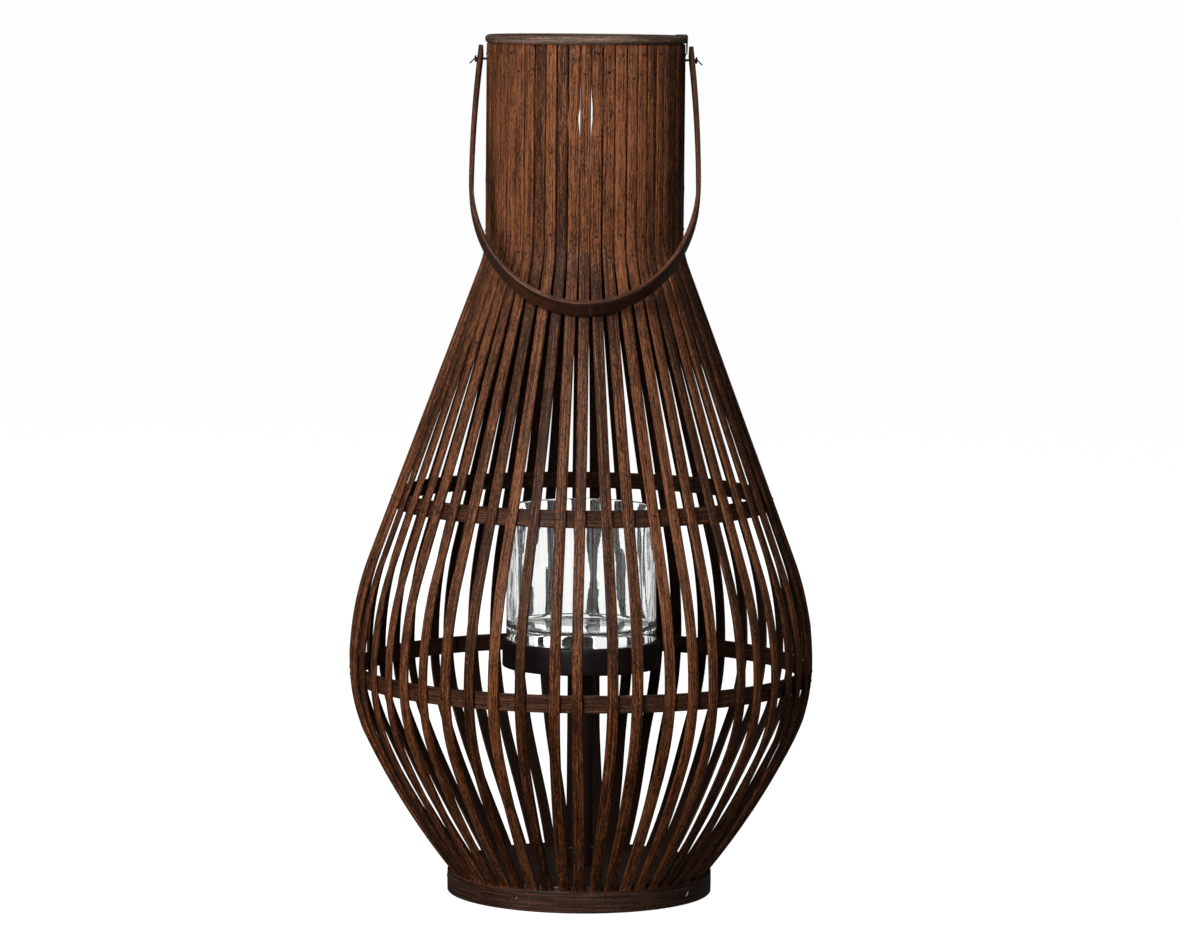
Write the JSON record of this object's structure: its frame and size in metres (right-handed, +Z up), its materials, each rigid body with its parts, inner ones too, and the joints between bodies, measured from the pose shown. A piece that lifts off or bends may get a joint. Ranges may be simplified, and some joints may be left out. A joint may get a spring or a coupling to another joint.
{
  "type": "bamboo slat lantern",
  "caption": "Bottle-shaped candle lantern of bent bamboo slats with inner hoops, a swinging strip handle, a post with a round platform and a lift-out glass cylinder.",
  "frame": {"origin": "middle of the foot, on the surface that the lantern stands on", "axes": "+Z up along the lantern's middle line, -Y to the front where the handle hangs, X through the two handle ties"},
  "size_m": [0.3254, 0.3252, 0.6011],
  "materials": {
    "bamboo_slat": "dark brown stained bamboo, satin varnish",
    "bamboo_strip": "dark brown stained bamboo strip, satin varnish",
    "handle_strip": "dark brown bent bamboo strip, satin varnish",
    "rattan_cane": "grey brown rattan cane, satin varnish",
    "base_wood": "dark stained wood, satin varnish",
    "base_strip": "dark stained veneer strip, satin varnish",
    "clear_glass": "clear, slightly wavy glass",
    "tie_wire": "dark annealed tie wire",
    "nail_steel": "small nail heads, dulled by varnish",
    "bright_steel": "bright zinc plated steel"
  },
  "bodies": {
    "cage": {"slat_pair_01": "bamboo_slat", "slat_pair_02": "bamboo_slat", "slat_pair_03": "bamboo_slat", "slat_pair_04": "bamboo_slat", "slat_pair_05": "bamboo_slat", "slat_pair_06": "bamboo_slat", "slat_pair_07": "bamboo_slat", "slat_pair_08": "bamboo_slat", "slat_pair_09": "bamboo_slat", "slat_pair_10": "bamboo_slat", "slat_pair_11": "bamboo_slat", "slat_pair_12": "bamboo_slat", "slat_pair_13": "bamboo_slat", "slat_pair_14": "bamboo_slat", "slat_pair_15": "bamboo_slat", "slat_pair_16": "bamboo_slat", "slat_pair_17": "bamboo_slat", "slat_pair_18": "bamboo_slat", "slat_pair_19": "bamboo_slat", "slat_pair_20": "bamboo_slat", "slat_pair_21": "bamboo_slat", "slat_pair_22": "bamboo_slat", "slat_pair_23": "bamboo_slat", "slat_pair_24": "bamboo_slat", "slat_pair_25": "bamboo_slat", "slat_pair_26": "bamboo_slat", "rim_ring": "rattan_cane", "neck_top_band": "bamboo_strip", "neck_lower_band": "bamboo_strip", "upper_hoop": "bamboo_strip", "lower_hoop": "bamboo_strip", "base_disc": "base_wood", "base_band": "base_strip", "post": "base_wood", "platform": "base_wood", "handle_tie_left": "tie_wire", "handle_tie_right": "tie_wire", "neck_top_pins": "nail_steel", "neck_lower_pins": "nail_steel", "upper_hoop_pins": "nail_steel", "lower_hoop_pins": "nail_steel", "base_nails": "nail_steel", "post_toe_nails": "bright_steel", "platform_screw": "bright_steel", "base_staples": "bright_steel"},
    "bail": {"handle": "handle_strip"},
    "glass": {"candle_glass": "clear_glass"}
  },
  "joints": [
    {"name": "handle_swing", "type": "hinge", "parent": "cage", "child": "bail", "pos_m": [0, 0, 0.583], "axis": [-1, 0, 0], "range_deg": [0, 301.8]},
    {"name": "glass_lift", "type": "slide", "parent": "cage", "child": "glass", "axis": [0, 0, 1], "range_m": [0, 0.43]}
  ]
}
